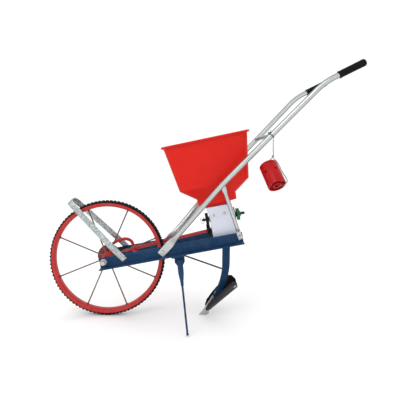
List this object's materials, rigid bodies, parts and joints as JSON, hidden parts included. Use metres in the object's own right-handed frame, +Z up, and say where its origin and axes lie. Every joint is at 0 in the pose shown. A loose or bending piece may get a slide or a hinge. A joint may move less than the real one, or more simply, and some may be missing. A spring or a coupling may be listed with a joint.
{
  "type": "push seeder",
  "caption": "One-wheel hand-pushed seeder: wheel-driven metering box under a tapered hopper, furrow opener, side stand and twin handles.",
  "frame": {"origin": "on the ground, under the middle of the whole machine's box", "axes": "+X towards the rear (the grips), +Y towards the machine's right side, +Z up"},
  "size_m": [1.2914, 0.4902, 1.0924],
  "materials": {
    "rubber": "ribbed black rubber",
    "grip_rubber": "ribbed black rubber",
    "red_paint": "gloss red enamel",
    "dark_red_casting": "dull red painted casting",
    "blue_paint": "blue enamel",
    "galvanised": "zinc-coated steel, faint spangle",
    "zinc": "zinc-plated hardware",
    "dark_steel": "dark oiled steel",
    "spoke_steel": "thin dark paint over brown steel",
    "black_steel": "gloss black enamel",
    "bright_steel": "polished and ground",
    "white_plastic": "moulded, satin",
    "red_plastic": "moulded, glossy",
    "green_plastic": "moulded, satin",
    "black_plastic": "moulded, satin",
    "twine": "twisted fibre"
  },
  "bodies": {
    "frame": {"axle": "zinc", "axle_spacer_left": "dark_steel", "axle_spacer_right": "dark_steel", "axle_nut_left": "zinc", "axle_nut_right": "zinc", "left_beam": "blue_paint", "right_beam": "blue_paint", "tow_loop": "galvanised", "tow_bolt_left": "zinc", "tow_bolt_right": "zinc", "handle_bolt_left": "zinc", "handle_bolt_right": "zinc", "strut_bolt_left": "zinc", "strut_bolt_right": "zinc", "pinion_bracket": "red_paint", "bearing_flange": "zinc", "metering_box": "white_plastic", "box_seat": "white_plastic", "deck_plate": "blue_paint", "hopper": "red_plastic", "shank": "blue_paint", "brace_rod": "dark_steel", "cross_bar": "blue_paint", "wing_left": "black_steel", "wing_right": "black_steel", "opener_point": "bright_steel", "handle_left": "galvanised", "handle_right": "galvanised", "grip_left": "grip_rubber", "grip_right": "grip_rubber", "cross_brace": "galvanised", "strut_left": "galvanised", "strut_right": "galvanised", "stand_bolt": "zinc", "stand_bracket": "blue_paint", "twine_tie": "twine"},
    "wheel": {"tyre": "rubber", "wheel_rim": "red_paint", "wheel_hub": "red_paint", "crown_gear": "dark_red_casting", "spoke_1": "spoke_steel", "spoke_2": "spoke_steel", "spoke_3": "spoke_steel", "spoke_4": "spoke_steel", "spoke_5": "spoke_steel", "spoke_6": "spoke_steel", "spoke_7": "spoke_steel", "spoke_8": "spoke_steel"},
    "drive": {"drive_shaft": "red_paint", "pinion": "dark_steel", "drive_gear": "dark_steel"},
    "metering": {"metering_shaft": "dark_steel", "metering_gear": "dark_steel", "split_pin": "zinc", "seed_roller": "red_plastic", "keeper_disc": "black_plastic"},
    "knob": {"star_knob": "green_plastic"},
    "stand": {"stand_leg": "blue_paint"},
    "spare": {"spare_roller": "red_plastic", "twine": "twine"}
  },
  "joints": [
    {"name": "wheel_spin", "type": "hinge", "parent": "frame", "child": "wheel", "pos_m": [-0.39172, 0, 0.254], "axis": [0, 1, 0], "continuous": true},
    {"name": "drive_shaft_spin", "type": "hinge", "parent": "frame", "child": "drive", "pos_m": [-0.39172, 0.05963, 0.254], "axis": [0.9595, -0.102, 0.2626], "continuous": true},
    {"name": "metering_spin", "type": "hinge", "parent": "frame", "child": "metering", "pos_m": [0.04626, 0, 0.42725], "axis": [0.9816, 0, 0.1908], "continuous": true},
    {"name": "knob_turn", "type": "hinge", "parent": "metering", "child": "knob", "pos_m": [0.04626, 0, 0.42725], "axis": [0.9816, 0, 0.1908], "continuous": true},
    {"name": "stand_fold", "type": "hinge", "parent": "frame", "child": "stand", "pos_m": [-0.06972, -0.108, 0.26], "axis": [-0.0107, 0.9073, -0.4203], "range_deg": [0, 80]},
    {"name": "spare_roller_swing", "type": "hinge", "parent": "frame", "child": "spare", "pos_m": [0.29828, -0.18206, 0.80228], "axis": [0, 1, 0], "range_deg": [-35, 6]}
  ],
  "couplings": [
    {"joint": "drive_shaft_spin", "follows": "wheel_spin", "ratio": 3},
    {"joint": "metering_spin", "follows": "wheel_spin", "ratio": -3}
  ]
}
